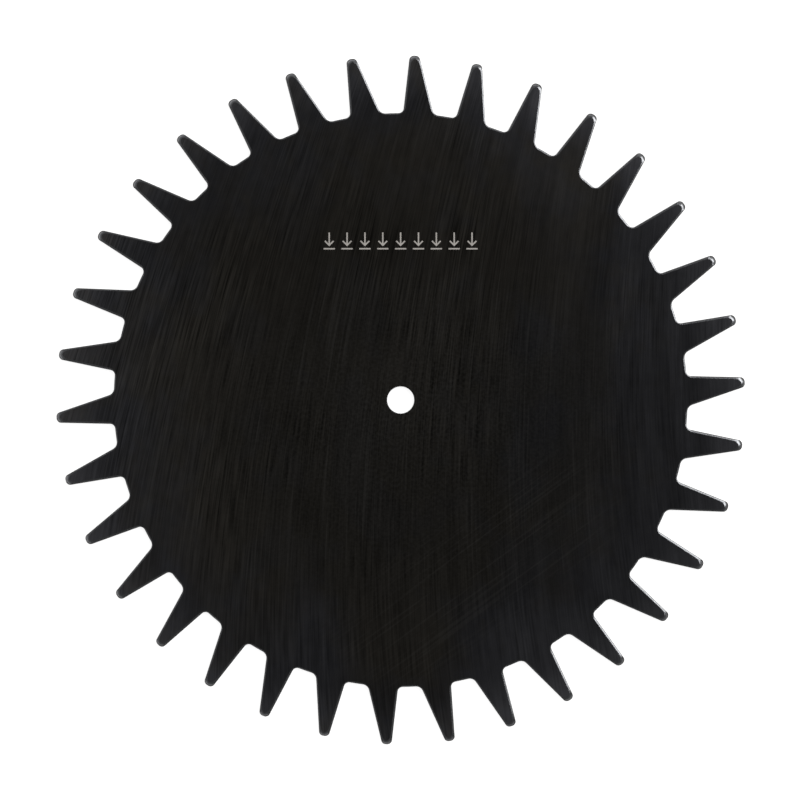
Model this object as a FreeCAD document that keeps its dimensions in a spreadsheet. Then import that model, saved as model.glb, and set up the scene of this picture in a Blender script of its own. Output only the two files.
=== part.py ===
import FreeCAD, Part
import math
import os
import Sketcher

# Trimmer blade: one flat steel disc with a ring of leaning, bevelled teeth
# and a plain round hole in the middle for the spindle.
# The disc lies on its plain face at height zero, the bevelled face is up,
# and the origin is on the axis of the hole. All lengths are millimetres.

NODE = "blade"

# Driving dimensions: name, value, meaning
SIZES = (
    ("tip_diameter", 255.0, "circle through the tooth tips"),
    ("tooth_depth", 21.4, "from the tip circle down to the gullet floor"),
    ("tooth_count", 34, "teeth round the rim"),
    ("first_tooth", 3.0, "angle of the first tooth from the X axis, in degrees"),
    ("tip_width", 3.45, "tooth width on the tip circle, before its corners are rounded"),
    ("lead_root", 3.33, "tooth axis to the foot of the steep flank"),
    ("trail_root", 7.86, "tooth axis to the foot of the sloping flank"),
    ("tip_corner", 1.65, "radius of the two corners of a tooth tip"),
    ("lead_foot", 1.85, "gullet radius at the foot of the steep flank"),
    ("trail_foot", 2.65, "gullet radius at the foot of the sloping flank"),
    ("corner_spare", 0.05, "least share of its room that a rounded corner leaves straight"),
    ("gauge", 2.0, "thickness of the sheet"),
    ("bevel_depth", 0.65, "depth of the bevel, below which the wall is upright"),
    ("bevel_tip", 1.40, "how far the bevelled face stands in from the wall at a tip"),
    ("bevel_flank", 0.60, "the same along a flank"),
    ("bevel_root", 0.30, "the same along a gullet floor"),
    ("bevel_ease", 1.50, "how much rounder a gullet corner is on the bevelled face than at the wall"),
    ("bore_diameter", 10.0, "spindle hole"),
    ("bore_break", 0.25, "broken edge at both mouths of the spindle hole"),
)

# Formulas over the sheet, each written once
TIP_RADIUS = "Sizes.tip_diameter / 2"
ROOT_RADIUS = f"({TIP_RADIUS} - Sizes.tooth_depth)"
HALF_PITCH = "180 deg / Sizes.tooth_count"
HALF_TIP = "Sizes.tip_width / 2"
LEAD_LEAN = f"atan((Sizes.lead_root - {HALF_TIP}) / Sizes.tooth_depth)"
TRAIL_LEAN = f"atan((Sizes.trail_root - {HALF_TIP}) / Sizes.tooth_depth)"
HALF_TOOTH_FOOT = "(Sizes.lead_root + Sizes.trail_root) / 2"

# The round blank has one tip width of stock outside the tips, and the gap's section passes it
BLANK_RADIUS = f"{TIP_RADIUS} + Sizes.tip_width"
CUTTER_RADIUS = f"{TIP_RADIUS} + 2 * Sizes.tip_width"

# Point positions of sketch geometry, and the sketch's own origin
START, END, CENTRE = range(1, 4)
SKETCH_ORIGIN = (-1, START)

UP = FreeCAD.Vector(0, 0, 1)


class Level:
    """One horizontal section of the gap between two teeth."""

    def __init__(self, name, height, tip, flank, root, ease):
        self.name = name
        self.height = height
        self.tip = tip
        self.flank = flank
        self.root = root
        self.ease = ease


LEVELS = (
    Level("GapFloor", "0", "0", "0", "0", "0"),
    Level("GapWallTop", "Sizes.gauge - Sizes.bevel_depth", "0", "0", "0", "0"),
    Level("GapFace", "Sizes.gauge", "Sizes.bevel_tip",
          "Sizes.bevel_flank", "Sizes.bevel_root", "Sizes.bevel_ease"),
)


def polar(radius, angle):
    """Point at a radius and an angle in radians round the origin."""
    return FreeCAD.Vector(radius * math.cos(angle), radius * math.sin(angle), 0)


def make_sheet(doc):
    """Write the driving dimensions into a sheet, one alias for each."""
    sheet = doc.addObject("Spreadsheet::Sheet", "Sizes")
    for row, (name, value, meaning) in enumerate(SIZES, start=1):
        sheet.set(f"A{row}", name)
        sheet.set(f"B{row}", str(value))
        sheet.set(f"C{row}", meaning)
        sheet.setAlias(f"B{row}", name)
    doc.recompute()
    return sheet


def origin_part(body, role):
    """Origin plane or axis of the body, found by its role."""
    for feature in body.Origin.OriginFeatures:
        if feature.Role == role:
            return feature
    raise RuntimeError("the body has no " + role)


def new_sketch(body, name, height):
    """Sketch parallel to the resting face, at a height given by a formula."""
    sketch = body.newObject("Sketcher::SketchObject", name)
    sketch.AttachmentSupport = [(origin_part(body, "XY_Plane"), "")]
    sketch.MapMode = "FlatFace"
    sketch.setExpression(".AttachmentOffset.Base.z", height)
    return sketch


def worth(sketch, formula):
    """Number that a formula over the sheet comes to, angles in degrees."""
    result = sketch.evalExpression(formula)
    return float(getattr(result, "Value", result))


def bind(sketch, name, formula, kind, *places):
    """Add a dimension to a sketch and tie it to a formula."""
    start = worth(sketch, formula)
    if kind == "Angle":
        start = math.radians(start)
    index = sketch.addConstraint(Sketcher.Constraint(kind, *places, start))
    sketch.renameConstraint(index, name)
    sketch.setExpression("Constraints." + name, formula)


def join(sketch, kind, *places):
    """Add a relation without a dimension to a sketch."""
    sketch.addConstraint(Sketcher.Constraint(kind, *places))


def add_arc(sketch, centre, radius, first, last):
    """Arc from the angle of one point to the angle of another, counter-clockwise."""
    begin = math.atan2(first.y - centre.y, first.x - centre.x)
    finish = math.atan2(last.y - centre.y, last.x - centre.x)
    if finish < begin:
        finish += math.tau
    circle = Part.Circle(centre, UP, radius)
    return sketch.addGeometry(Part.ArcOfCircle(circle, begin, finish), False)


def add_line(sketch, first, last, construction=False):
    """Straight line between two points."""
    return sketch.addGeometry(Part.LineSegment(first, last), construction)


class Side:
    """One side of a gap: a tooth axis, its half crown, tip corner, flank and foot.

    turn is +1 for the tooth that bounds the gap with its sloping flank and
    stands counter-clockwise of it, and -1 for the tooth on the other hand.
    """

    def __init__(self, sketch, level, turn):
        self.sketch = sketch
        self.turn = turn
        self.tag = "Trail" if turn > 0 else "Lead"
        self.lean = TRAIL_LEAN if turn > 0 else LEAD_LEAN
        foot = "Sizes.trail_foot" if turn > 0 else "Sizes.lead_foot"
        crown_room = f"({HALF_TIP} + {level.tip} * tan({self.lean}) - {level.flank} / cos({self.lean}))"
        floor_room = f"(pi * {ROOT_RADIUS} / Sizes.tooth_count - {HALF_TOOTH_FOOT} + {level.flank})"
        self.axis_angle = f"90 deg + {turn} * {HALF_PITCH}"
        self.crown_radius = f"{TIP_RADIUS} - {level.tip}"
        self.floor_radius = f"{ROOT_RADIUS} - {level.root}"
        self.tip_to_flank = f"{HALF_TIP} * cos({self.lean}) - {level.flank}"
        self.corner_radius = (f"min(Sizes.tip_corner; (1 - Sizes.corner_spare) * {crown_room}"
                              f" / tan(45 deg - {self.lean} / 2))")
        self.foot_radius = f"min({foot} + {level.ease}; (1 - Sizes.corner_spare) * {floor_room})"

    def draw(self):
        """Draw the side where its formulas put it."""
        sketch = self.sketch
        axis_angle = math.radians(worth(sketch, self.axis_angle))
        lean = math.radians(worth(sketch, self.lean))
        tip = worth(sketch, TIP_RADIUS)
        crown = worth(sketch, self.crown_radius)
        floor = worth(sketch, self.floor_radius)
        corner = worth(sketch, self.corner_radius)
        foot = worth(sketch, self.foot_radius)

        # The flank is the line at distance reach from the origin, outward is its normal
        outward = polar(1, axis_angle - self.turn * (math.pi / 2 - lean))
        along = polar(1, axis_angle + self.turn * lean)
        reach = tip * math.sin(lean) + worth(sketch, self.tip_to_flank)

        inside = reach - corner
        corner_centre = outward * inside + along * math.sqrt((crown - corner) ** 2 - inside ** 2)
        beside = reach + foot
        foot_centre = outward * beside + along * math.sqrt((floor + foot) ** 2 - beside ** 2)

        axis_tip = polar(tip, axis_angle)
        crown_middle = polar(crown, axis_angle)
        crown_end = corner_centre * (crown / corner_centre.Length)
        flank_top = corner_centre + outward * corner
        flank_foot = foot_centre - outward * foot
        self.floor_end = foot_centre * (floor / foot_centre.Length)
        self.rim_end = polar(worth(sketch, CUTTER_RADIUS), axis_angle)

        ahead = self.turn > 0
        self.axis = add_line(sketch, FreeCAD.Vector(), axis_tip, construction=True)
        self.crown = add_arc(sketch, FreeCAD.Vector(), crown,
                             *((crown_end, crown_middle) if ahead else (crown_middle, crown_end)))
        self.corner = add_arc(sketch, corner_centre, corner,
                              *((flank_top, crown_end) if ahead else (crown_end, flank_top)))
        self.flank = add_line(sketch, flank_foot, flank_top)
        self.foot = add_arc(sketch, foot_centre, foot,
                            *((flank_foot, self.floor_end) if ahead else (self.floor_end, flank_foot)))
        self.exit = add_line(sketch, crown_middle, self.rim_end)

    def constrain(self):
        """Tie the side to the sheet."""
        sketch = self.sketch
        tag = self.tag
        near, far = (START, END) if self.turn > 0 else (END, START)
        join(sketch, "Coincident", self.axis, START, *SKETCH_ORIGIN)
        bind(sketch, f"AxisLength{tag}", TIP_RADIUS, "Distance", self.axis)
        bind(sketch, f"AxisAngle{tag}", self.axis_angle, "Angle", self.axis)
        join(sketch, "Coincident", self.crown, CENTRE, *SKETCH_ORIGIN)
        bind(sketch, f"CrownRadius{tag}", self.crown_radius, "Radius", self.crown)
        join(sketch, "PointOnObject", self.crown, far, self.axis)
        join(sketch, "Tangent", self.crown, near, self.corner, far)
        bind(sketch, f"CornerRadius{tag}", self.corner_radius, "Radius", self.corner)
        join(sketch, "Tangent", self.corner, near, self.flank, END)
        lines = (self.axis, START, self.flank, START)
        if self.turn < 0:
            lines = (self.flank, START, self.axis, START)
        bind(sketch, f"Lean{tag}", self.lean, "Angle", *lines)
        bind(sketch, f"TipToFlank{tag}", self.tip_to_flank, "Distance", self.axis, END, self.flank)
        join(sketch, "Tangent", self.flank, START, self.foot, near)
        bind(sketch, f"FootRadius{tag}", self.foot_radius, "Radius", self.foot)
        join(sketch, "Coincident", self.exit, START, self.crown, far)
        join(sketch, "PointOnObject", self.exit, END, self.axis)


def gap_sketch(body, level):
    """Closed section of the gap between two teeth, its middle on the sketch's Y axis."""
    sketch = new_sketch(body, level.name, level.height)
    trail = Side(sketch, level, 1)
    lead = Side(sketch, level, -1)
    trail.draw()
    lead.draw()
    origin = FreeCAD.Vector()
    floor = add_arc(sketch, origin, trail.floor_end.Length, lead.floor_end, trail.floor_end)
    rim = add_arc(sketch, origin, trail.rim_end.Length, lead.rim_end, trail.rim_end)
    trail.constrain()
    lead.constrain()
    join(sketch, "Coincident", floor, CENTRE, *SKETCH_ORIGIN)
    bind(sketch, "FloorRadius", trail.floor_radius, "Radius", floor)
    join(sketch, "Tangent", floor, END, trail.foot, END)
    join(sketch, "Tangent", floor, START, lead.foot, START)
    join(sketch, "Coincident", rim, CENTRE, *SKETCH_ORIGIN)
    bind(sketch, "RimRadius", CUTTER_RADIUS, "Radius", rim)
    join(sketch, "Coincident", rim, END, trail.exit, END)
    join(sketch, "Coincident", rim, START, lead.exit, END)
    return sketch


def circle_sketch(body, name, radius):
    """Circle round the axis on the resting face, its radius a formula."""
    sketch = new_sketch(body, name, "0")
    circle = Part.Circle(FreeCAD.Vector(), UP, worth(sketch, radius))
    index = sketch.addGeometry(circle, False)
    join(sketch, "Coincident", index, CENTRE, *SKETCH_ORIGIN)
    bind(sketch, name + "Radius", radius, "Radius", index)
    return sketch


def make_blank(body):
    """Round blank, a little larger than the tip circle."""
    pad = body.newObject("PartDesign::Pad", "Blank")
    pad.Profile = circle_sketch(body, "BlankCircle", BLANK_RADIUS)
    pad.setExpression("Length", "Sizes.gauge")
    return pad


def make_bore(doc, body):
    """Spindle hole through the blank, with both mouths broken."""
    pocket = body.newObject("PartDesign::Pocket", "Bore")
    pocket.Profile = circle_sketch(body, "BoreCircle", "Sizes.bore_diameter / 2")
    pocket.Type = "ThroughAll"
    pocket.Reversed = True
    before = body.Shape.Volume
    doc.recompute()
    if pocket.Shape.Volume >= before:
        raise RuntimeError("the spindle hole cuts nothing")

    bore_radius = worth(pocket, "Sizes.bore_diameter / 2")
    mouths = [f"Edge{number}" for number, edge in enumerate(pocket.Shape.Edges, start=1)
              if isinstance(edge.Curve, Part.Circle) and math.isclose(edge.Curve.Radius, bore_radius)]
    broken = body.newObject("PartDesign::Chamfer", "BoreBreak")
    broken.Base = (pocket, mouths)
    broken.setExpression("Size", "Sizes.bore_break")
    doc.recompute()
    return broken


def make_teeth(doc, body):
    """Cut one gap through the rim and repeat it round the axis, which leaves the teeth."""
    sections = [gap_sketch(body, level) for level in LEVELS]
    doc.recompute()
    gap = body.newObject("PartDesign::SubtractiveLoft", "ToothGap")
    gap.Profile = (sections[0], [""])
    gap.Sections = [(section, [""]) for section in sections[1:]]
    gap.Ruled = True
    doc.recompute()

    ring = body.newObject("PartDesign::PolarPattern", "ToothRing")
    ring.Originals = [gap]
    ring.Axis = (origin_part(body, "Z_Axis"), [""])
    ring.Angle = 360
    ring.setExpression("Occurrences", "Sizes.tooth_count")
    body.Tip = ring
    doc.recompute()
    return ring


def make_blade(doc):
    """The blade, turned so that its first tooth stands at its angle."""
    body = doc.addObject("PartDesign::Body", "Blade")
    body.Label = NODE
    make_blank(body)
    doc.recompute()
    make_bore(doc, body)
    make_teeth(doc, body)
    body.Placement = FreeCAD.Placement(FreeCAD.Vector(), FreeCAD.Rotation(UP, 1))
    body.setExpression(".Placement.Rotation.Angle", "Sizes.first_tooth * 1 deg")
    doc.recompute()
    return body


def check_document(doc, body):
    """Stop if a feature failed or the blade is not one sound solid."""
    for item in doc.Objects:
        if "Invalid" in item.State or "Error" in item.State:
            raise RuntimeError(item.Label + " failed: " + str(item.State))
        if hasattr(item, "FullyConstrained") and not item.FullyConstrained:
            raise RuntimeError(item.Label + " is not fully constrained")
    shape = body.Shape
    if shape.isNull() or not shape.isValid() or len(shape.Solids) != 1:
        raise RuntimeError(body.Label + " is not one valid solid")


def main():
    """Build the blade and write its solid."""
    doc = FreeCAD.newDocument("TrimmerBlade")
    make_sheet(doc)
    body = make_blade(doc)
    check_document(doc, body)
    os.makedirs("parts", exist_ok=True)
    body.Shape.exportStep(os.path.join("parts", NODE + ".step"))
    box = body.Shape.BoundBox
    print(f"{NODE}: volume {body.Shape.Volume:.1f}, faces {len(body.Shape.Faces)}, "
          f"size {box.XLength:.3f} x {box.YLength:.3f} x {box.ZLength:.3f}")


main()
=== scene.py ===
"""Dress the trimmer blade: a black steel disc with a ring of rolled teeth, lying on a pale table."""

import cmath
import logging
import math
import random
from dataclasses import astuple, dataclass, field, replace
from enum import IntEnum
from typing import Sequence

import bmesh
import bpy
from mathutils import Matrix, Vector
from mathutils.geometry import delaunay_2d_cdt


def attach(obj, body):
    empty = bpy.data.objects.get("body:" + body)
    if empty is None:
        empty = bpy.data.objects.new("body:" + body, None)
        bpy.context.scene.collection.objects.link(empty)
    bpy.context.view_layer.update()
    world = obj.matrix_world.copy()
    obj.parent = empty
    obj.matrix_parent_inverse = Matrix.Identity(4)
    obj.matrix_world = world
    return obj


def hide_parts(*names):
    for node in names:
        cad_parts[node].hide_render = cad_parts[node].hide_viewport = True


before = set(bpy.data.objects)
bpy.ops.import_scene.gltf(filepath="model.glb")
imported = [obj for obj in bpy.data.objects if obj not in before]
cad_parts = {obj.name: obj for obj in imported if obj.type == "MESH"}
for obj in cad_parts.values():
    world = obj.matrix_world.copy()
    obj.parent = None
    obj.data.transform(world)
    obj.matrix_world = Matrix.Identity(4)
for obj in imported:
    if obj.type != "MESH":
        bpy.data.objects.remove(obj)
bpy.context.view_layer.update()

LOG = logging.getLogger("trimmer_blade")
MM = 0.001
WEAR_LAYER = "edge_wear"

Colour = tuple[float, ...]
Loop = list[bmesh.types.BMVert]
Socket = bpy.types.NodeSocket

# What may be given to a socket: a plain value, or the socket that it is wired to
Feed = float | Colour | Socket


class Zone(IntEnum):
    """Parts of the blade's skin, in the order of its material slots."""

    FACE = 0
    ROLLED = 1
    WALL = 2
    MARK = 3


class Hand(IntEnum):
    """Side of a tooth: the steep leading flank or the sloping trailing flank."""

    LEAD = -1
    TRAIL = 1


# Shapes


def lerp(first: float, last: float, share: float) -> float:
    """Value a share of the way from first to last."""
    return first + (last - first) * share


def arc(centre: complex, start: complex, end: complex, steps: int) -> list[complex]:
    """Points along an arc the short way round, without its first point.

    Args:
        centre: Middle of the arc.
        start: Point that the arc leaves from.
        end: Point that the arc runs to.
        steps: Number of equal steps.

    Returns:
        The points after the start, in order.
    """
    sweep = cmath.phase((end - centre) / (start - centre))
    return [centre + (start - centre) * cmath.rect(1, sweep * k / steps) for k in range(1, steps + 1)]


@dataclass(frozen=True)
class Inset:
    """How far an outline stands in from the wall, in millimetres.

    The ease is added to the radius of the foot corners. Over the length of the arch, below its
    crown, a tooth is drawn in towards its middle by up to the share named arch.
    """

    tip: float = 0.0
    lead: float = 0.0
    trail: float = 0.0
    root: float = 0.0
    ease: float = 0.0
    arch: float = 0.0
    arch_length: float = 3.0

    def flank(self, hand: Hand) -> float:
        """Inset along the flank on one hand."""
        return self.trail if hand is Hand.TRAIL else self.lead

    def grown(self, factor: float) -> "Inset":
        """Inset that stands further in by a factor, with corners and arch as round as before."""
        return replace(self, tip=self.tip * factor, lead=self.lead * factor,
                       trail=self.trail * factor, root=self.root * factor)

    def arched(self, point: complex, middle: complex) -> complex:
        """Draw a point in towards the middle line of its tooth.

        Args:
            point: Place on the outline.
            middle: Middle of the inset crown.

        Returns:
            The place on the arched outline.
        """
        radial = middle / abs(middle)
        place = (point - middle) / radial
        below = min(-place.real / self.arch_length, 1.0)
        return middle + radial * complex(place.real, place.imag * (1 - self.arch * (1 - below) ** 2))


@dataclass
class ToothRing:
    """Outline of the ring of leaning teeth, in millimetres and degrees.

    The sides of two teeth meet in the middle of the gullet floor. That is nearer to the tooth whose
    steep flank leads down to it, by lead_gap as a share of the pitch.
    """

    count: int = 34
    first_angle: float = 3.0
    tip_radius: float = 127.5
    tooth_depth: float = 21.4
    tip_width: float = 3.45
    lead_root: float = 3.33
    trail_root: float = 7.86
    tip_corner: float = 1.65
    lead_foot: float = 1.85
    trail_foot: float = 2.65
    corner_spare: float = 0.05
    lead_gap: float = 0.38
    crown_steps: int = 2
    corner_steps: int = 10
    flank_steps: int = 12
    foot_steps: int = 7
    floor_steps: int = 3
    face: Inset = Inset(tip=1.38, lead=0.72, trail=0.56, root=0.56, ease=1.50, arch=0.32)

    def lean(self, hand: Hand) -> float:
        """Angle between a flank and the axis of the tooth, in radians."""
        foot_width = self.trail_root if hand is Hand.TRAIL else self.lead_root
        return math.atan((foot_width - self.tip_width / 2) / self.tooth_depth)

    def bend(self, hand: Hand) -> float:
        """Length of crown that a tip corner takes up on one hand, for a corner radius of one."""
        return math.tan(math.pi / 4 - self.lean(hand) / 2)

    def room(self, hand: Hand, inset: Inset) -> float:
        """Width from the axis of the tooth to an inset flank, at the height of the inset crown."""
        lean = self.lean(hand)
        return self.tip_width / 2 + inset.tip * math.tan(lean) - inset.flank(hand) / math.cos(lean)

    def side(self, hand: Hand, inset: Inset, axis: float) -> list[complex]:
        """Trace one side of a tooth from the middle of its crown to the middle of the gap.

        Args:
            hand: Which flank of the tooth.
            inset: How far the outline stands in from the wall.
            axis: Angle of the tooth, in radians.

        Returns:
            The points of the side in order.
        """
        root_radius = self.tip_radius - self.tooth_depth
        half_tip = self.tip_width / 2
        foot_base = self.trail_foot if hand is Hand.TRAIL else self.lead_foot
        lean = self.lean(hand)
        inward = inset.flank(hand)
        balance = sum(self.room(each, inset) for each in Hand) / sum(self.bend(each) for each in Hand)
        aside = self.room(Hand.TRAIL, inset) - balance * self.bend(Hand.TRAIL)
        share = 1 - self.corner_spare
        corner = min(self.tip_corner, share * balance)
        floor_room = (math.pi * root_radius / self.count
                      - (self.lead_root + self.trail_root) / 2 + inward)
        foot = min(foot_base + inset.ease, share * floor_room)
        crown = self.tip_radius - inset.tip
        floor = root_radius - inset.root

        outward = cmath.rect(1, axis - hand * (math.pi / 2 - lean))
        along = cmath.rect(1, axis + hand * lean)
        reach = self.tip_radius * math.sin(lean) + half_tip * math.cos(lean) - inward
        inside = reach - corner
        corner_centre = outward * inside + along * math.sqrt((crown - corner) ** 2 - inside ** 2)
        beside = reach + foot
        foot_centre = outward * beside + along * math.sqrt((floor + foot) ** 2 - beside ** 2)

        crown_middle = cmath.rect(crown, axis - aside / crown)
        crown_end = corner_centre * crown / abs(corner_centre)
        flank_top = corner_centre + outward * corner
        flank_foot = foot_centre - outward * foot
        floor_end = foot_centre * floor / abs(foot_centre)
        half_gap = self.lead_gap if hand is Hand.LEAD else 1 - self.lead_gap
        gap_middle = cmath.rect(floor, axis - hand * half_gap * math.tau / self.count)

        points = [crown_middle]
        points += arc(0, crown_middle, crown_end, self.crown_steps)
        points += arc(corner_centre, crown_end, flank_top, self.corner_steps)
        points += [flank_top + (flank_foot - flank_top) * k / self.flank_steps
                   for k in range(1, self.flank_steps + 1)]
        points += arc(foot_centre, flank_foot, floor_end, self.foot_steps)
        points += arc(0, floor_end, gap_middle, self.floor_steps)
        return [inset.arched(point, crown_middle) for point in points]

    def outline(self, inset: Inset) -> list[complex]:
        """Trace the whole rim counter-clockwise.

        Args:
            inset: How far the outline stands in from the wall.

        Returns:
            The points of the closed outline.
        """
        points: list[complex] = []
        for index in range(self.count):
            axis = math.radians(self.first_angle) + math.tau * index / self.count
            points += self.side(Hand.TRAIL, inset, axis)[::-1][1:]
            points += self.side(Hand.LEAD, inset, axis)[1:]
        return points

    def roll_widths(self) -> list[float]:
        """Measure the rolled edge all round the rim, square to the wall.

        Returns:
            The width at each point of the outline.
        """
        wall, face = self.outline(Inset()), self.outline(self.face)
        widths = []
        for index, (outer, inner) in enumerate(zip(wall, face)):
            along = wall[(index + 1) % len(wall)] - wall[index - 1]
            widths.append(-((outer - inner) / along).imag * abs(along))
        return widths


@dataclass
class GroundMarks:
    """Row of plain arrows, each pointing down at a line, which say that this face goes to the ground."""

    count: int = 9
    pitch: float = 6.6
    row_middle: float = 58.8
    width: float = 4.2
    height: float = 6.3
    head_share: float = 0.86
    stroke: float = 0.55
    gap: float = 0.62
    depth: float = 0.03

    def arrow(self, x: float) -> list[tuple[float, float]]:
        """Outline of one arrow, counter-clockwise.

        Args:
            x: Middle of the arrow.

        Returns:
            The corners of the arrow.
        """
        half = self.stroke / 2
        diagonal = self.stroke / math.sqrt(2)
        low = self.row_middle - self.height / 2 + self.stroke + self.gap
        top = self.row_middle + self.height / 2
        barb = self.width / 2 * self.head_share
        neck = low + self.stroke * math.sqrt(2) + half
        return [(x, low), (x + barb, low + barb), (x + barb - diagonal, low + barb + diagonal),
                (x + half, neck), (x + half, top), (x - half, top), (x - half, neck),
                (x - barb + diagonal, low + barb + diagonal), (x - barb, low + barb)]

    def line(self, x: float) -> list[tuple[float, float]]:
        """Outline of the ground line under an arrow, counter-clockwise.

        Args:
            x: Middle of the line.

        Returns:
            The corners of the line.
        """
        left, right = x - self.width / 2, x + self.width / 2
        low = self.row_middle - self.height / 2
        return [(left, low), (right, low), (right, low + self.stroke), (left, low + self.stroke)]

    def outlines(self) -> list[list[tuple[float, float]]]:
        """Outlines of all the marks in the row."""
        places = [(k - (self.count - 1) / 2) * self.pitch for k in range(self.count)]
        return [shape(x) for x in places for shape in (self.arrow, self.line)]


@dataclass
class Blade:
    """The whole blade: two flat faces, a rolled rim, a sheared wall and the spindle hole.

    Sizes are in millimetres. The rolled edge falls in facets and then over a rounded shoulder. It is
    shallower where it is narrow, by a power of its width, and slow waves make it a little uneven.
    """

    teeth: ToothRing = field(default_factory=ToothRing)
    marks: GroundMarks = field(default_factory=GroundMarks)
    gauge: float = 2.0
    bore_radius: float = 5.0
    bore_break: float = 0.25
    bore_soft_share: float = 0.35
    bore_steps: int = 120
    wall_loop_height: float = 0.6
    burr_break: float = 0.12
    burr_soft_share: float = 0.3
    worn_share: float = 0.40
    facet_slopes: tuple[float, ...] = (0.22, 0.28, 0.36, 0.46, 0.60)
    narrow_power: float = 0.60
    shoulder: float = 0.28
    round_start: float = 60.0
    round_height: float = 0.40
    round_steps: int = 6
    wobble: float = 0.08
    wave_count: int = 9
    wave_turns: tuple[int, int] = (5, 90)
    wave_weights: tuple[float, float] = (0.3, 1.0)
    seed: int = 34

    def section(self) -> list[tuple[float, float, Zone]]:
        """Work out the rolled edge, from the border of the face down to the upright wall.

        Returns:
            For each level the share of the roll width in from the wall, the drop as a share of
            that width, and the zone of the strip above it.
        """
        levels = [(1.0, 0.0, Zone.FACE)]
        stride = (1 - self.shoulder) / len(self.facet_slopes)
        drop = 0.0
        for index, slope in enumerate(self.facet_slopes, 1):
            drop += slope * stride
            levels.append((1 - index * stride, drop, Zone.ROLLED))
        start = math.radians(self.round_start)
        for index in range(1, self.round_steps + 1):
            angle = lerp(start, math.pi / 2, index / self.round_steps)
            share = (math.sin(angle) - math.sin(start)) / (1 - math.sin(start))
            fall = (math.cos(start) - math.cos(angle)) / math.cos(start)
            levels.append((self.shoulder * (1 - share), drop + self.round_height * fall, Zone.WALL))
        return levels

    def unevenness(self, size: int) -> list[float]:
        """Draw the slow change of the roll's depth round the rim.

        Args:
            size: Number of points on the rim.

        Returns:
            A factor near one for each point.
        """
        draw = random.Random(self.seed)
        waves = [(draw.randint(*self.wave_turns), draw.uniform(0, math.tau),
                  draw.uniform(*self.wave_weights)) for _ in range(self.wave_count)]
        total = sum(weight for _, _, weight in waves)
        return [1 + self.wobble * sum(weight * math.sin(turns * math.tau * k / size + phase)
                                      for turns, phase, weight in waves) / total
                for k in range(size)]

    def rim_loops(self) -> tuple[list[list[Vector]], list[Zone], list[float]]:
        """Work out every level of the rim, from the face down to the resting face.

        Returns:
            The loops of points in millimetres, the zone of each strip between loops, and the
            wear of each loop.
        """
        wall = self.teeth.outline(Inset())
        face = self.teeth.outline(self.teeth.face)
        border = self.teeth.outline(self.teeth.face.grown(1 + self.worn_share))
        widths = self.teeth.roll_widths()
        factors = self.unevenness(len(wall))
        loops = [[Vector((at.real, at.imag, self.gauge)) for at in border]]
        zones: list[Zone] = []
        wear = [0.0]
        for share, drop, zone in self.section():
            loop = []
            for outer, inner, width, factor in zip(wall, face, widths, factors):
                at = outer + (inner - outer) * share
                shallow = (width / self.teeth.face.tip) ** self.narrow_power
                loop.append(Vector((at.real, at.imag, self.gauge - drop * width * shallow * factor)))
            loops.append(loop)
            zones.append(zone)
            wear.append(1.0)
        soft = self.burr_break * self.burr_soft_share
        for height, inset in ((self.wall_loop_height, 0.0), (self.burr_break, 0.0), (soft, soft),
                              (0.0, self.burr_break)):
            loop = []
            for outer, inner, width in zip(wall, face, widths):
                at = outer + (inner - outer) * inset / width
                loop.append(Vector((at.real, at.imag, height)))
            loops.append(loop)
            zones.append(Zone.WALL)
            wear.append(1.0)
        return loops, zones, wear

    def bore_loops(self) -> list[list[Vector]]:
        """Work out every level of the spindle hole, from the face down to the resting face.

        Returns:
            The loops of points in millimetres.
        """
        soft = self.bore_break * self.bore_soft_share
        levels = [(self.bore_radius + self.bore_break, self.gauge),
                  (self.bore_radius + soft, self.gauge - soft),
                  (self.bore_radius, self.gauge - self.bore_break),
                  (self.bore_radius, self.bore_break),
                  (self.bore_radius + soft, soft),
                  (self.bore_radius + self.bore_break, 0.0)]
        return [[Vector((radius * math.cos(turn), radius * math.sin(turn), height))
                 for turn in (math.tau * k / self.bore_steps for k in range(self.bore_steps))]
                for radius, height in levels]

    def build(self, finishes: Sequence[bpy.types.Material]) -> bpy.types.Object:
        """Build the mesh and lay its finishes on.

        Args:
            finishes: One material for each zone, in the order of the zones.

        Returns:
            The blade, which rides on the CAD body and stands for the CAD node.
        """
        skin = Skin()
        loops, zones, wear = self.rim_loops()
        rim = [skin.loop(points, worn) for points, worn in zip(loops, wear)]
        for upper, lower, zone in zip(rim, rim[1:], zones):
            skin.strip(upper, lower, zone, smooth=zone is not Zone.FACE)
        bore = [skin.loop(points, 1.0) for points in self.bore_loops()]
        for upper, lower in zip(bore, bore[1:]):
            skin.strip(lower, upper, Zone.WALL, smooth=True)

        tops, pits = (
            [skin.loop([Vector((x, y, height)) for x, y in shape], 0.0) for shape in self.marks.outlines()]
            for height in (self.gauge, self.gauge - self.marks.depth))
        for top, pit in zip(tops, pits):
            skin.strip(pit, top, Zone.MARK, smooth=False)
        skin.fill(rim[0], bore[0], tops, pits, up=True)
        skin.fill(rim[-1], bore[-1], [], [], up=False)
        crease = (rim[1], rim[-3], rim[-1], bore[0], bore[-1])
        return skin.finish("trimmer_blade", finishes, crease)


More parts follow.
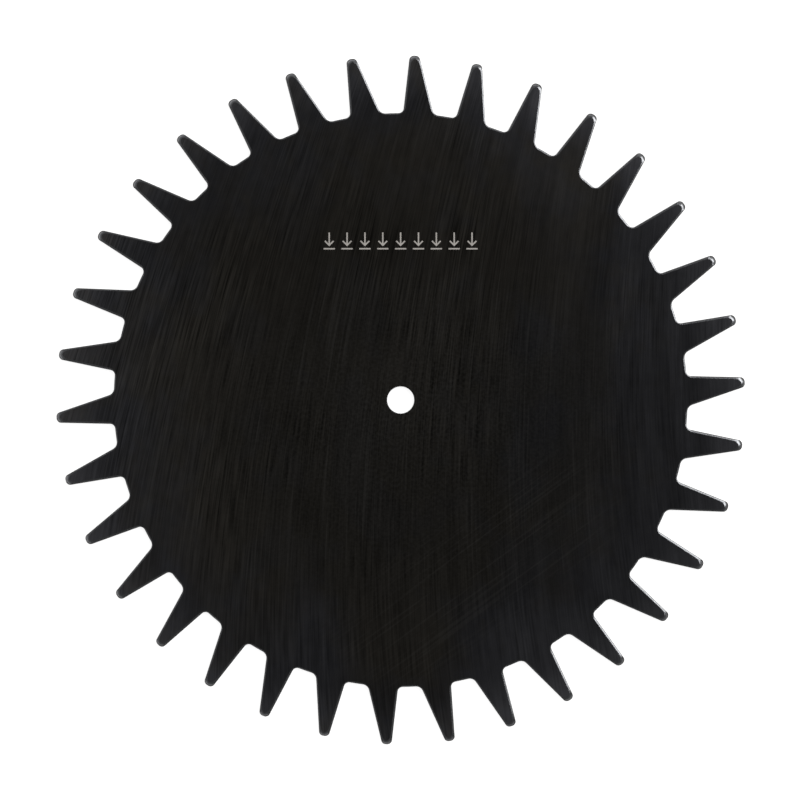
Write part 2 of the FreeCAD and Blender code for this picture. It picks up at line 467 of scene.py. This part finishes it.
class Skin:
    """Mesh under construction, in millimetres until it is finished.

    Its triangulation fills the whole hull and takes points within the merge distance for one.
    """

    whole_hull: int = 0
    merge_distance: float = 1e-6

    def __init__(self) -> None:
        """Start an empty mesh with a layer for wear."""
        self.mesh = bmesh.new()
        self.worn = self.mesh.verts.layers.float.new(WEAR_LAYER)

    def loop(self, points: Sequence[Vector], worn: float) -> Loop:
        """Add a closed loop of vertices.

        Args:
            points: Places in millimetres.
            worn: Wear of the loop, from 0 to 1.

        Returns:
            The new vertices in order.
        """
        made = []
        for point in points:
            vertex = self.mesh.verts.new(point)
            vertex[self.worn] = worn
            made.append(vertex)
        return made

    def strip(self, upper: Loop, lower: Loop, zone: Zone, smooth: bool) -> None:
        """Close the band between two loops of the same length.

        Args:
            upper: Loop that runs counter-clockwise along the top of the band, seen from outside.
            lower: Loop along its bottom.
            zone: Zone of the band.
            smooth: Whether its shading is smooth.
        """
        for index, corner in enumerate(upper):
            after = (index + 1) % len(upper)
            quad = self.mesh.faces.new((corner, lower[index], lower[after], upper[after]))
            quad.material_index = zone
            quad.smooth = smooth

    def fill(self, rim: Loop, bore: Loop, tops: list[Loop], pits: list[Loop], up: bool) -> None:
        """Cover a flat face inside its rim, leaving the hole open and sinking the marks.

        Args:
            rim: Outer loop of the face.
            bore: Loop of the hole.
            tops: Loops of the marks on the face.
            pits: The same loops at the bottom of the marks.
            up: Whether the face looks up.
        """
        loops = [rim, bore, *tops]
        corners = [vertex for loop in loops for vertex in loop]
        sunk = {id(top): pit for top_loop, pit_loop in zip(tops, pits)
                for top, pit in zip(top_loop, pit_loop)}
        bounds, start = [], 0
        for loop in loops:
            bounds.append(list(range(start, start + len(loop))))
            start += len(loop)
        flat = [vertex.co.to_2d() for vertex in corners]
        _, _, faces, origin, _, within = delaunay_2d_cdt(
            flat, [], bounds, self.whole_hull, self.merge_distance)
        rim_number, bore_number = 0, 1
        for face, inside in zip(faces, within):
            if rim_number not in inside or bore_number in inside:
                continue
            marked = any(number > bore_number for number in inside)
            chosen = [corners[origin[index][0]] for index in face]
            if marked:
                chosen = [sunk[id(vertex)] for vertex in chosen]
            if not up:
                chosen.reverse()
            made = self.mesh.faces.new(chosen)
            made.material_index = Zone.MARK if marked else Zone.FACE
            made.smooth = False

    def finish(self, name: str, finishes: Sequence[bpy.types.Material],
               creases: Sequence[Loop]) -> bpy.types.Object:
        """Turn the mesh into an object in metres.

        Args:
            name: Name of the object.
            finishes: Materials in the order of the zones.
            creases: Loops along which the shading breaks.

        Returns:
            The new object.
        """
        for loop in creases:
            for index, vertex in enumerate(loop):
                self.mesh.edges.get((vertex, loop[(index + 1) % len(loop)])).smooth = False
        bmesh.ops.scale(self.mesh, vec=(MM, MM, MM), verts=self.mesh.verts)
        data = bpy.data.meshes.new(name)
        self.mesh.to_mesh(data)
        self.mesh.free()
        for material in finishes:
            data.materials.append(material)
        made = bpy.data.objects.new(name, data)
        bpy.context.scene.collection.objects.link(made)
        return made


# Finishes


def rgb(red: float, green: float, blue: float) -> Colour:
    """Opaque linear colour."""
    return (red, green, blue, 1.0)


@dataclass(frozen=True)
class Ramp:
    """Smooth change of a value: out_low at low and below it, out_high at high and above it."""

    low: float
    high: float
    out_low: float = 0.0
    out_high: float = 1.0


@dataclass(frozen=True)
class Patch:
    """Round patch of a finish, in millimetres, that fades out toward its edge."""

    x: float
    y: float
    reach: float
    amount: float


@dataclass(frozen=True)
class Noise:
    """Grey noise of a frequency, with octaves beyond the first and the weight of these."""

    scale: float = 1.0
    detail: float = 2.0
    roughness: float = 0.5


@dataclass(frozen=True)
class Blotches:
    """Soft noise in blotches of a width and height in millimetres, set apart by a seed."""

    width: float
    height: float
    seed: float
    noise: Noise


@dataclass(frozen=True)
class Grain:
    """Noise drawn out into lines, with the lines to a millimetre and their length in millimetres.

    The seed sets this grain apart from others, and detail is the octaves of finer lines.
    """

    pitch: float
    length: float
    seed: float
    detail: float = 1.0


class Wiring:
    """Lays and wires nodes that work out numbers."""

    def __init__(self, tree: bpy.types.NodeTree) -> None:
        """Start on the tree that the nodes are laid in."""
        self.tree = tree

    def feed(self, socket: Socket, value: Feed) -> None:
        """Set a socket, or wire it if the value comes from another node.

        Args:
            socket: The socket that is fed.
            value: What it gets.
        """
        if isinstance(value, Socket):
            self.tree.links.new(value, socket)
        else:
            socket.default_value = value

    def calc(self, operation: str, *values: Feed, clamp: bool = False) -> Socket:
        """Lay a maths node.

        Args:
            operation: Blender's name of the operation.
            values: Its operands.
            clamp: Whether the result is kept between 0 and 1.

        Returns:
            The socket of the result.
        """
        node = self.tree.nodes.new("ShaderNodeMath")
        node.operation = operation
        node.use_clamp = clamp
        for socket, value in zip(node.inputs, values):
            self.feed(socket, value)
        return node.outputs[0]

    def fold(self, operation: str, first: Feed, *others: Feed) -> Feed:
        """Work one operation through any number of values.

        Args:
            operation: Blender's name of the operation.
            first: The value that it starts from.
            others: The values that follow, in order.

        Returns:
            The result.
        """
        for other in others:
            first = self.calc(operation, first, other)
        return first

    def spread(self, value: Feed, ramp: Ramp) -> Socket:
        """Map a value smoothly onto a range.

        Args:
            value: What is mapped.
            ramp: The two ranges.

        Returns:
            The socket of the result.
        """
        node = self.tree.nodes.new("ShaderNodeMapRange")
        node.interpolation_type = "SMOOTHSTEP"
        for socket, number in zip(node.inputs, (value, *astuple(ramp))):
            self.feed(socket, number)
        return node.outputs[0]


class Bench(Wiring):
    """Lays and wires the nodes of one material. Places are in millimetres."""

    def __init__(self, name: str) -> None:
        """Start a material that holds only its shader and output.

        Args:
            name: Name of the material.
        """
        self.material = bpy.data.materials.new(name)
        self.material.use_nodes = True
        super().__init__(self.material.node_tree)
        self.tree.nodes.clear()
        output = self.tree.nodes.new("ShaderNodeOutputMaterial")
        self.shader = self.tree.nodes.new("ShaderNodeBsdfPrincipled")
        self.tree.links.new(self.shader.outputs["BSDF"], output.inputs["Surface"])

    def place(self, x: Feed, y: Feed, z: Feed = 0.0) -> Socket:
        """Join three numbers to a vector.

        Args:
            x: First part.
            y: Second part.
            z: Third part.

        Returns:
            The socket of the vector.
        """
        node = self.tree.nodes.new("ShaderNodeCombineXYZ")
        for socket, value in zip(node.inputs, (x, y, z)):
            self.feed(socket, value)
        return node.outputs[0]

    def position(self) -> tuple[Socket, Socket, Socket]:
        """Find the place on the object.

        Returns:
            The sockets of its three parts.
        """
        coordinates = self.tree.nodes.new("ShaderNodeTexCoord")
        scaled = self.tree.nodes.new("ShaderNodeVectorMath")
        scaled.operation = "SCALE"
        scaled.inputs["Scale"].default_value = 1 / MM
        self.tree.links.new(coordinates.outputs["Object"], scaled.inputs[0])
        parts = self.tree.nodes.new("ShaderNodeSeparateXYZ")
        self.tree.links.new(scaled.outputs[0], parts.inputs[0])
        return parts.outputs[0], parts.outputs[1], parts.outputs[2]

    def noise(self, where: Socket, kind: Noise) -> Socket:
        """Lay a noise texture.

        Args:
            where: The place that it is looked up at.
            kind: Its frequency and octaves.

        Returns:
            The socket of its grey value, near one half.
        """
        node = self.tree.nodes.new("ShaderNodeTexNoise")
        node.inputs["Scale"].default_value = kind.scale
        node.inputs["Detail"].default_value = kind.detail
        node.inputs["Roughness"].default_value = kind.roughness
        self.tree.links.new(where, node.inputs["Vector"])
        return node.outputs[0]

    def blotches(self, x: Feed, y: Feed, kind: Blotches) -> Socket:
        """Lay a noise in blotches, whose grey value is near one half."""
        where = self.place(self.calc("DIVIDE", x, kind.width), self.calc("DIVIDE", y, kind.height),
                           kind.seed)
        return self.noise(where, kind.noise)

    def grain(self, across: Feed, along: Feed, kind: Grain) -> Socket:
        """Lay a noise drawn out into lines, whose grey value is near one half."""
        where = self.place(self.calc("MULTIPLY", across, kind.pitch),
                           self.calc("DIVIDE", along, kind.length), kind.seed)
        return self.noise(where, Noise(detail=kind.detail))

    def patch(self, x: Feed, y: Feed, patch: Patch, rest: float = 0.0) -> Socket:
        """Lay a round patch, which adds its amount to the value away from it."""
        square = self.square(self.calc("SUBTRACT", x, patch.x), self.calc("SUBTRACT", y, patch.y))
        return self.spread(square, Ramp(0.0, patch.reach ** 2, rest + patch.amount, rest))

    def square(self, x: Feed, y: Feed) -> Socket:
        """Square of the distance that two offsets give."""
        return self.calc("ADD", self.calc("MULTIPLY", x, x), self.calc("MULTIPLY", y, y))

    def sway(self, grey: Socket, amount: float) -> Socket:
        """Grey value near one half as a signed change round zero."""
        return self.calc("MULTIPLY_ADD", grey, amount, -amount / 2)

    def blend(self, share: Feed, first: Feed, last: Feed) -> Socket:
        """Mix two colours.

        Args:
            share: Share of the last colour.
            first: Colour at a share of 0.
            last: Colour at a share of 1.

        Returns:
            The socket of the mixed colour.
        """
        node = self.tree.nodes.new("ShaderNodeMix")
        node.data_type = "RGBA"
        node.clamp_factor = True
        colours = {socket.name: socket for socket in node.inputs if socket.type == "RGBA"}
        self.feed(node.inputs[0], share)
        self.feed(colours["A"], first)
        self.feed(colours["B"], last)
        return next(socket for socket in node.outputs if socket.type == "RGBA")

    def scaled(self, colour: Socket, factor: Socket) -> Socket:
        """Make a colour lighter or darker.

        Args:
            colour: The colour.
            factor: What it is multiplied by.

        Returns:
            The socket of the new colour.
        """
        node = self.tree.nodes.new("ShaderNodeVectorMath")
        node.operation = "SCALE"
        self.tree.links.new(colour, node.inputs[0])
        self.tree.links.new(factor, node.inputs["Scale"])
        return node.outputs[0]

    def worn(self) -> Socket:
        """Read the wear that the mesh carries along its edges.

        Returns:
            The socket of the wear, from 0 to 1.
        """
        node = self.tree.nodes.new("ShaderNodeAttribute")
        node.attribute_name = WEAR_LAYER
        return node.outputs["Fac"]

    def relief(self, height: Socket, depth: float) -> None:
        """Bump the shader by a height field.

        Args:
            height: The field, about 0 to 1.
            depth: Depth of the field in metres.
        """
        node = self.tree.nodes.new("ShaderNodeBump")
        node.inputs["Distance"].default_value = depth
        self.tree.links.new(height, node.inputs["Height"])
        self.tree.links.new(node.outputs[0], self.shader.inputs["Normal"])

    def set(self, **values: Feed) -> bpy.types.Material:
        """Set inputs of the shader, an underscore for each space in their names.

        Args:
            values: What each input gets.

        Returns:
            The material.
        """
        for name, value in values.items():
            self.feed(self.shader.inputs[name.replace("_", " ")], value)
        return self.material


@dataclass(frozen=True)
class BlackFace:
    """Blackened sheet with long hairlines, a patch of cross scratches and a faint mottle.

    Places are in millimetres from the middle of the blade, and angles in degrees.
    """

    warm: Colour = rgb(0.0228, 0.0210, 0.0183)
    cool: Colour = rgb(0.0203, 0.0204, 0.0223)
    bare: Colour = rgb(0.0900, 0.0870, 0.0820)
    edge_tint: Colour = rgb(0.52, 0.52, 0.54)
    mottle: Blotches = Blotches(26.0, 34.0, 2.0, Noise(detail=4.0, roughness=0.62))

    # Hairlines: their grains, their slant, and how much each changes the lightness
    lines: Grain = Grain(0.95, 26.0, 0.0)
    hairs: Grain = Grain(2.0, 17.0, 7.0, detail=0.0)
    bundles: Grain = Grain(0.14, 70.0, 3.0)
    broad: Grain = Grain(0.16, 90.0, 11.0)
    scores: Grain = Grain(1.30, 60.0, 17.0, detail=0.0)
    lean: float = 6.0
    lean_gain_up: float = 0.107
    lean_loss_right: float = 0.0805
    line_sway: float = 1.12
    hair_sway: float = 1.60
    broad_sway: float = 0.20
    drawn: Blotches = Blotches(38.0, 60.0, 9.0, Noise(detail=1.0))
    drawn_sway: Ramp = Ramp(0.38, 0.62, 0.50, 1.15)
    calm_across: tuple[Ramp, ...] = (Ramp(25.0, 75.0, 1.0, 0.66), Ramp(-100.0, -50.0, 0.78, 1.0),
                                     Ramp(72.0, 98.0, 1.0, 0.58))
    calm_upward: tuple[Ramp, ...] = (Ramp(42.0, 92.0, 1.0, 0.55), Ramp(-80.0, -30.0, 0.58, 1.0))

    # Scratches that bare the metal, lengthwise and across
    score_cut: Ramp = Ramp(0.56, 0.72)
    bundle_cut: Ramp = Ramp(0.42, 0.62)
    score_bare: float = 0.17
    slants: Grain = Grain(1.10, 60.0, 5.0, detail=0.0)
    slant_cut: Ramp = Ramp(0.53, 0.70)
    cross_angle: float = 36.0
    cross_middle: tuple[float, float] = (27.0, -65.0)
    cross_length: Ramp = Ramp(35.0, 70.0, 1.0, 0.0)
    cross_width: Ramp = Ramp(10.0, 28.0, 1.0, 0.0)
    cross_bare: float = 0.15
    cross_height: float = 0.5
    speckle: Noise = Noise(0.9, 3.0)
    rubbed: Ramp = Ramp(0.35, 0.70, 0.03, 0.25)

    # Tint: where the coat turns from brownish to blue grey
    rim_cool: Ramp = Ramp(68.0, 114.0, 0.0, 0.88)
    right_cool: Ramp = Ramp(8.0, 55.0, 0.0, 0.36)
    mottle_cool: Ramp = Ramp(0.42, 0.60, -0.25, 0.28)
    blue_patches: tuple[Patch, ...] = (Patch(62.0, -3.0, 48.0, 0.30), Patch(-29.0, -91.0, 30.0, 0.40),
                                       Patch(44.0, -95.0, 30.0, 0.40), Patch(2.0, -96.0, 28.0, -0.65),
                                       Patch(70.0, 76.0, 24.0, -0.55), Patch(48.0, 90.0, 24.0, -0.50),
                                       Patch(0.0, 100.0, 42.0, -0.18))

    # Lightness: where the coat is thin, the left painted lighter as painted light, and how uneven it is
    outward_thin: tuple[Ramp, Ramp] = (Ramp(40.0, 115.0, 1.0, 1.60), Ramp(108.0, 130.0, 0.0, 1.70))
    # Painted light: the coat is lighter toward the left, standing in for the brighter light that side shows
    left_painted_light: Ramp = Ramp(-115.0, -20.0, 1.42, 1.0)
    low_thin: Ramp = Ramp(-126.0, -98.0, 1.16, 1.0)
    pale_patches: tuple[Patch, ...] = (Patch(0.0, 34.0, 62.0, 0.12), Patch(52.0, -102.0, 35.0, 0.62),
                                       Patch(66.0, 94.0, 32.0, 0.22), Patch(32.0, 112.0, 26.0, 0.25),
                                       Patch(-31.0, -92.0, 26.0, 0.18), Patch(-84.0, 68.0, 46.0, -0.20),
                                       Patch(-9.0, -121.0, 22.0, -0.28), Patch(93.0, 33.0, 26.0, 0.14),
                                       Patch(92.0, -72.0, 32.0, 0.22))
    mottle_sway: float = 0.38
    smudge: Blotches = Blotches(3.2, 4.5, 6.0, Noise(detail=3.0))
    smudge_sway: float = 0.42
    darkest: float = 0.35

    roughness: Ramp = Ramp(0.30, 0.70, 0.23, 0.27)
    depth: float = 4e-6

    def across(self, bench: Bench, x: Socket, y: Socket) -> Socket:
        """Find the place across the hairlines, which bend to the right going up and fan out downward.

        Args:
            bench: Where the nodes are laid.
            x: Place across.
            y: Place upward.

        Returns:
            The socket of the place.
        """
        gain, loss = math.radians(self.lean_gain_up), math.radians(self.lean_loss_right)
        drift = gain / loss
        pole = (math.radians(self.lean) - drift) / loss
        offset = bench.calc("SUBTRACT", bench.calc("SUBTRACT", x, pole), bench.calc("MULTIPLY", y, drift))
        growth = bench.calc("EXPONENT", bench.calc("MULTIPLY", y, loss))
        return bench.calc("ADD", bench.calc("MULTIPLY", offset, growth), pole)

    def cross_scratches(self, bench: Bench, x: Socket, y: Socket) -> Socket:
        """Lay the cross scratches, in one slanting patch low on the right.

        Args:
            bench: Where the nodes are laid.
            x: Place across.
            y: Place upward.

        Returns:
            The socket of their strength, from 0 to 1.
        """
        turn = math.radians(self.cross_angle)
        cos, sin = math.cos(turn), math.sin(turn)
        middle_x, middle_y = self.cross_middle
        along = bench.calc("ADD", bench.calc("MULTIPLY", x, cos), bench.calc("MULTIPLY", y, sin))
        beside = bench.calc("SUBTRACT", bench.calc("MULTIPLY", y, cos), bench.calc("MULTIPLY", x, sin))
        off_along = bench.calc("ABSOLUTE", bench.calc("SUBTRACT", along, middle_x * cos + middle_y * sin))
        off_beside = bench.calc("ABSOLUTE", bench.calc("SUBTRACT", beside, middle_y * cos - middle_x * sin))
        within = bench.calc("MULTIPLY", bench.spread(off_along, self.cross_length),
                            bench.spread(off_beside, self.cross_width))
        slants = bench.grain(beside, along, self.slants)
        return bench.calc("MULTIPLY", within, bench.spread(slants, self.slant_cut))

    def tint(self, bench: Bench, x: Socket, y: Socket, radius: Socket, mottle: Socket) -> Socket:
        """Tint the coat: brownish in the middle, blue grey toward the rim, broken by the mottle.

        Args:
            bench: Where the nodes are laid.
            x: Place across.
            y: Place upward.
            radius: Distance from the middle of the blade.
            mottle: Grey value of the mottle.

        Returns:
            The socket of the colour.
        """
        outer = bench.fold("ADD", bench.spread(radius, self.rim_cool), bench.spread(x, self.right_cool),
                           *(bench.patch(x, y, patch) for patch in self.blue_patches))
        share = bench.calc("ADD", outer, bench.spread(mottle, self.mottle_cool), clamp=True)
        return bench.blend(share, self.warm, self.cool)

    def thinning_and_painted_light(self, bench: Bench, x: Socket, y: Socket, radius: Socket) -> Socket:
        """Lighten the coat where it is thin, toward the rim, on the teeth and in patches, and toward the
        left as painted light.

        Args:
            bench: Where the nodes are laid.
            x: Place across.
            y: Place upward.
            radius: Distance from the middle of the blade.

        Returns:
            The socket of a factor.
        """
        outward = bench.calc("ADD", *(bench.spread(radius, ramp) for ramp in self.outward_thin))
        # The left side is lightened here as painted light
        aside = (bench.spread(x, self.left_painted_light), bench.spread(y, self.low_thin))
        patches = (bench.patch(x, y, patch, rest=1.0) for patch in self.pale_patches)
        return bench.fold("MULTIPLY", outward, *aside, *patches)

    def calm(self, bench: Bench, x: Socket, y: Socket) -> Socket:
        """Quieten the hairlines toward the rim by a factor."""
        return bench.fold("MULTIPLY", *(bench.spread(x, ramp) for ramp in self.calm_across),
                          *(bench.spread(y, ramp) for ramp in self.calm_upward))

    def material(self) -> bpy.types.Material:
        """Make the finish.

        Returns:
            The material.
        """
        bench = Bench("blackened_face")
        calc, spread = bench.calc, bench.spread
        x, y, _ = bench.position()
        radius = calc("SQRT", bench.square(x, y))
        across = self.across(bench, x, y)
        grains = (self.lines, self.hairs, self.bundles, self.broad, self.scores)
        lines, hairs, bundles, broad, scores = (bench.grain(across, y, kind) for kind in grains)
        soft = (self.mottle, self.smudge, self.drawn)
        mottle, smudge, drawn = (bench.blotches(x, y, kind) for kind in soft)
        calm = self.calm(bench, x, y)

        # Coat: its tint, lightened where it is thin, toward the left as painted light, and along the lines
        drawn_lines = calc("ADD", bench.sway(lines, self.line_sway), bench.sway(hairs, self.hair_sway))
        wave = bench.fold("MULTIPLY", drawn_lines, spread(drawn, self.drawn_sway), calm)
        wave = bench.fold("ADD", wave, bench.sway(broad, self.broad_sway),
                          bench.sway(mottle, self.mottle_sway), bench.sway(smudge, self.smudge_sway), 1.0)
        light = calc("MULTIPLY", self.thinning_and_painted_light(bench, x, y, radius), calc("MAXIMUM", wave, self.darkest))
        coated = bench.scaled(self.tint(bench, x, y, radius, mottle), light)

        # Bare metal: in the scratches and where the edges are rubbed
        crossed = self.cross_scratches(bench, x, y)
        scored = calc("MULTIPLY", spread(scores, self.score_cut), spread(bundles, self.bundle_cut))
        marked = calc("ADD", bench.fold("MULTIPLY", scored, self.score_bare, calm),
                      calc("MULTIPLY", crossed, self.cross_bare))
        speckle = bench.noise(bench.place(x, y), self.speckle)
        rubbed = calc("MULTIPLY", bench.worn(), spread(speckle, self.rubbed))
        bare = calc("ADD", marked, rubbed, clamp=True)

        bench.relief(calc("ADD", lines, calc("MULTIPLY", crossed, self.cross_height)), self.depth)
        return bench.set(Base_Color=bench.blend(bare, coated, self.bare), Metallic=1.0,
                         Roughness=spread(broad, self.roughness), Specular_Tint=self.edge_tint)


@dataclass(frozen=True)
class RolledEdge:
    """Edge drawn over by the die and rubbed smooth, with fine marks across it."""

    tone: Colour = rgb(0.142, 0.145, 0.151)
    dull: Colour = rgb(0.098, 0.099, 0.103)
    edge_tint: Colour = rgb(0.6, 0.6, 0.62)
    patches: Noise = Noise(0.22, 3.0)
    patch_fade: Ramp = Ramp(0.30, 0.70, 0.10, 0.75)
    patch_height: float = 2.0
    speckle: Noise = Noise(2.4, 3.0, 0.6)
    speckle_fade: Ramp = Ramp(0.30, 0.70, 0.50, 1.20)
    roughness: Ramp = Ramp(0.30, 0.70, 0.19, 0.31)
    depth: float = 2e-6

    def material(self) -> bpy.types.Material:
        """Make the finish.

        Returns:
            The material.
        """
        bench = Bench("rolled_edge")
        where = bench.place(*bench.position())
        patches = bench.noise(where, self.patches)
        speckle = bench.noise(where, self.speckle)
        fade = bench.calc("MULTIPLY", bench.spread(patches, self.patch_fade),
                          bench.spread(speckle, self.speckle_fade))
        height = bench.calc("ADD", speckle, bench.calc("MULTIPLY", patches, self.patch_height))
        bench.relief(height, self.depth)
        return bench.set(Base_Color=bench.blend(fade, self.tone, self.dull), Metallic=1.0,
                         Roughness=bench.spread(speckle, self.roughness), Specular_Tint=self.edge_tint)


@dataclass(frozen=True)
class ShearedWall:
    """Dark cut wall: a burnished band above a duller break, with upright striations.

    The wall of the spindle hole and its breaks are darkened as painted shade, so that they show dark where
    they would reflect the bright horizon.
    """

    tone: Colour = rgb(0.040, 0.039, 0.038)
    bright: Colour = rgb(0.075, 0.073, 0.070)
    edge_tint: Colour = rgb(0.20, 0.20, 0.20)
    striae: Noise = Noise(2.6, 3.0, 0.6)
    upright: float = 0.12
    ragged: Ramp = Ramp(0.30, 0.70, -0.15, 0.15)
    burnish: Ramp = Ramp(0.55, 0.75)
    shading: Noise = Noise(0.3, 2.0)
    shine: Ramp = Ramp(0.30, 0.70, 0.30, 0.90)
    roughness: Ramp = Ramp(0.30, 0.70, 0.42, 0.54)
    polish: float = 0.10
    # Painted shade: a darker tone at the spindle hole, set by the squared distance from the middle
    coat: Ramp = Ramp(60.0, 120.0, 0.35, 1.0)
    depth: float = 1.2e-5

    def material(self) -> bpy.types.Material:
        """Make the finish.

        Returns:
            The material.
        """
        bench = Bench("sheared_wall")
        x, y, z = bench.position()
        striae = bench.noise(bench.place(x, y, bench.calc("MULTIPLY", z, self.upright)), self.striae)
        shading = bench.noise(bench.place(x, y, z), self.shading)
        burnish = bench.spread(bench.calc("ADD", z, bench.spread(striae, self.ragged)), self.burnish)
        shine = bench.calc("MULTIPLY", burnish, bench.spread(shading, self.shine))
        bench.relief(striae, self.depth)
        rough = bench.calc("SUBTRACT", bench.spread(striae, self.roughness),
                           bench.calc("MULTIPLY", burnish, self.polish))
        # The tone is darkened at the spindle hole as painted shade
        tone = bench.scaled(bench.blend(shine, self.tone, self.bright),
                            bench.spread(bench.square(x, y), self.coat))
        return bench.set(Base_Color=tone, Metallic=1.0, Roughness=rough, Specular_Tint=self.edge_tint)


@dataclass(frozen=True)
class EtchedMark:
    """Pale, dry etching that breaks up a little over the hairlines."""

    pale: Colour = rgb(0.345, 0.326, 0.303)
    thin: Colour = rgb(0.215, 0.202, 0.186)
    grit: Noise = Noise(3.2, 3.0, 0.65)
    grit_fade: Ramp = Ramp(0.42, 0.68)
    line_pitch: float = 4.0
    line_stretch: float = 0.3
    line_seed: float = 1.0
    line_fade: Ramp = Ramp(0.35, 0.65, 0.30, 1.0)
    roughness: Ramp = Ramp(0.30, 0.70, 0.75, 0.90)
    gloss: float = 0.25
    depth: float = 1e-5

    def material(self) -> bpy.types.Material:
        """Make the finish.

        Returns:
            The material.
        """
        bench = Bench("etched_mark")
        x, y, _ = bench.position()
        grit = bench.noise(bench.place(x, y), self.grit)
        where = bench.place(bench.calc("MULTIPLY", x, self.line_pitch),
                            bench.calc("MULTIPLY", y, self.line_stretch), self.line_seed)
        lines = bench.noise(where, Noise())
        thinned = bench.calc("MULTIPLY", bench.spread(grit, self.grit_fade),
                             bench.spread(lines, self.line_fade))
        bench.relief(grit, self.depth)
        return bench.set(Base_Color=bench.blend(thinned, self.pale, self.thin), Metallic=0.0,
                         Roughness=bench.spread(grit, self.roughness), Specular_IOR_Level=self.gloss)


@dataclass(frozen=True)
class TableTop:
    """Softly lit white table."""

    albedo: float = 0.35
    glow: float = 0.86
    roughness: float = 0.9

    def material(self) -> bpy.types.Material:
        """Make the finish.

        Returns:
            The material.
        """
        bench = Bench("white_table")
        return bench.set(Base_Color=rgb(self.albedo, self.albedo, self.albedo), Roughness=self.roughness,
                         Specular_IOR_Level=0.0, Emission_Color=rgb(1, 1, 1), Emission_Strength=self.glow)


# Studio


@dataclass(frozen=True)
class Softbox:
    """Soft panel that lights the blade from one side. Sizes are in metres and angles in degrees."""

    name: str
    azimuth: float
    elevation: float
    width: float
    height: float
    power: float
    distance: float = 2.0

    def hang(self) -> None:
        """Put the panel in place, facing the blade."""
        turn, rise = math.radians(self.azimuth), math.radians(self.elevation)
        away = Vector((math.cos(turn) * math.cos(rise), math.sin(turn) * math.cos(rise), math.sin(rise)))
        data = bpy.data.lights.new(self.name, "AREA")
        data.shape = "RECTANGLE"
        data.size, data.size_y = self.width, self.height
        data.energy = self.power
        lamp = bpy.data.objects.new(self.name, data)
        lamp.location = away * self.distance
        lamp.rotation_mode = "QUATERNION"
        lamp.rotation_quaternion = away.to_track_quat("Z", "Y")
        lamp.visible_camera = False
        bpy.context.scene.collection.objects.link(lamp)


@dataclass
class Studio:
    """White table, surround, softbox and the camera on its stand, in metres and degrees.

    The profile gives the brightness of the surround from its rise, which is the sine of the height
    angle. The side gain gives a factor from the share of a direction that points to the bright
    side, and the ceiling holds the product down near the horizon.
    """

    table_radius: float = 8.0
    table_drop: float = 0.00005
    table_sides: int = 96
    profile: Ramp = Ramp(0.15, 0.80, 1.25, 0.20)
    bright_side: float = 140.0
    side_gain: Ramp = Ramp(-0.30, 0.70, 1.0, 2.15)
    ceiling: Ramp = Ramp(0.15, 0.45, 1.0, 2.7)
    frame_width: float = 0.29608
    aim: tuple[float, float] = (-0.00024, -0.00001)
    aim_height: float = 0.001
    lens: float = 120.0
    sensor: float = 36.0
    softboxes: tuple[Softbox, ...] = (
        Softbox("key_softbox", azimuth=30.0, elevation=50.0, width=1.14, height=0.92, power=26.5),)

    def table(self) -> None:
        """Lay the table top under the blade."""
        mesh = bmesh.new()
        bmesh.ops.create_circle(mesh, cap_ends=True, segments=self.table_sides, radius=self.table_radius)
        bmesh.ops.translate(mesh, vec=(0, 0, -self.table_drop), verts=mesh.verts)
        data = bpy.data.meshes.new("table")
        mesh.to_mesh(data)
        mesh.free()
        data.materials.append(TableTop().material())
        made = bpy.data.objects.new("table", data)
        bpy.context.scene.collection.objects.link(made)

    def surround(self) -> None:
        """Light the blade all round, brightest low down, plain white at the horizon and dim overhead."""
        world = bpy.data.worlds.new("surround")
        world.use_nodes = True
        tree = world.node_tree
        wiring = Wiring(tree)
        direction = tree.nodes.new("ShaderNodeTexCoord").outputs["Generated"]
        parts = tree.nodes.new("ShaderNodeSeparateXYZ")
        tree.links.new(direction, parts.inputs[0])
        rise = parts.outputs[2]

        turn = math.radians(self.bright_side)
        facing = tree.nodes.new("ShaderNodeVectorMath")
        facing.operation = "DOT_PRODUCT"
        facing.inputs[1].default_value = (math.cos(turn), math.sin(turn), 0.0)
        tree.links.new(direction, facing.inputs[0])

        light = wiring.calc("MULTIPLY", wiring.spread(rise, self.profile),
                            wiring.spread(facing.outputs["Value"], self.side_gain))
        held = wiring.calc("MINIMUM", light, wiring.spread(rise, self.ceiling))
        background = tree.nodes["Background"]
        background.inputs["Color"].default_value = rgb(1, 1, 1)
        tree.links.new(held, background.inputs["Strength"])
        bpy.context.scene.world = world

    def camera(self) -> None:
        """Stand the camera straight above the blade, at the photograph's scale."""
        data = bpy.data.cameras.new("overhead_camera")
        data.lens, data.sensor_width = self.lens, self.sensor
        data.dof.use_dof = False
        made = bpy.data.objects.new("overhead_camera", data)
        made.location = (*self.aim, self.aim_height + self.frame_width * self.lens / self.sensor)
        bpy.context.scene.collection.objects.link(made)
        bpy.context.scene.camera = made

    def set_up(self) -> None:
        """Put up the whole studio."""
        bpy.context.scene.view_settings.view_transform = "Standard"
        self.table()
        self.surround()
        self.camera()
        for softbox in self.softboxes:
            softbox.hang()


def main() -> None:
    """Build the blade, dress it and put up the studio."""
    logging.basicConfig(level=logging.INFO, format="%(name)s: %(message)s")
    kinds = (BlackFace(), RolledEdge(), ShearedWall(), EtchedMark())
    blade = Blade().build([kind.material() for kind in kinds])
    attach(blade, "root")
    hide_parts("blade")
    LOG.info("%s: %d faces", blade.name, len(blade.data.polygons))
    Studio().set_up()


if __name__ == "__main__":
    main()
